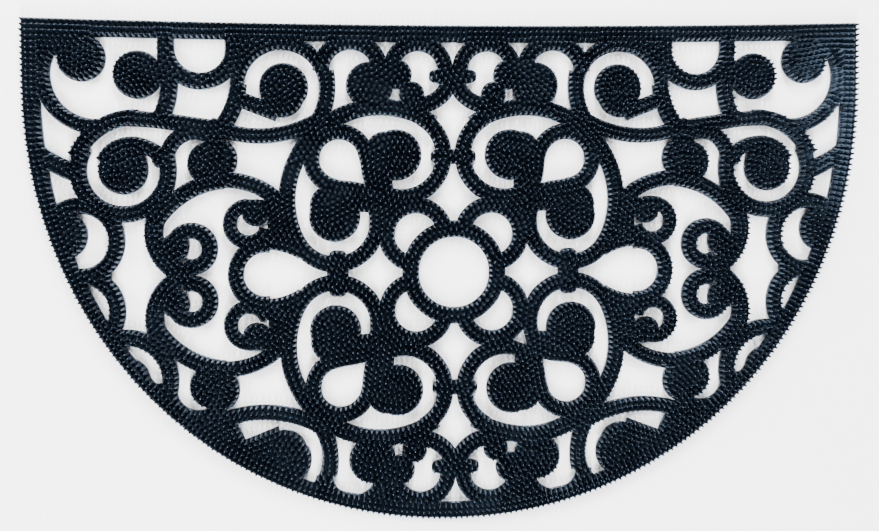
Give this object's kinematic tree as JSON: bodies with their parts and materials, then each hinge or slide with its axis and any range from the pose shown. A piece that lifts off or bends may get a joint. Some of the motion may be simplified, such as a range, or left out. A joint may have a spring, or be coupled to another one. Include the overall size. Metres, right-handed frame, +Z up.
{
  "type": "half-round openwork rubber doormat",
  "caption": "Half-round moulded rubber scraper mat: a flat openwork of scrolled bars inside a border band, which lies flat on the floor and lets dirt fall through.",
  "frame": {"origin": "middle of the underside, on the floor: halfway along the mat's width and halfway between its straight edge and the crown of its curved edge", "axes": "+X along the straight edge, +Y towards the straight edge, where the door is, +Z up from the floor"},
  "size_m": [0.7484, 0.4468, 0.0105],
  "materials": {
    "rubber": "moulded black rubber, semi-matt with a faint sheen on edges and pin tips"
  },
  "bodies": {
    "root": {"mat": "rubber"}
  },
  "joints": []
}
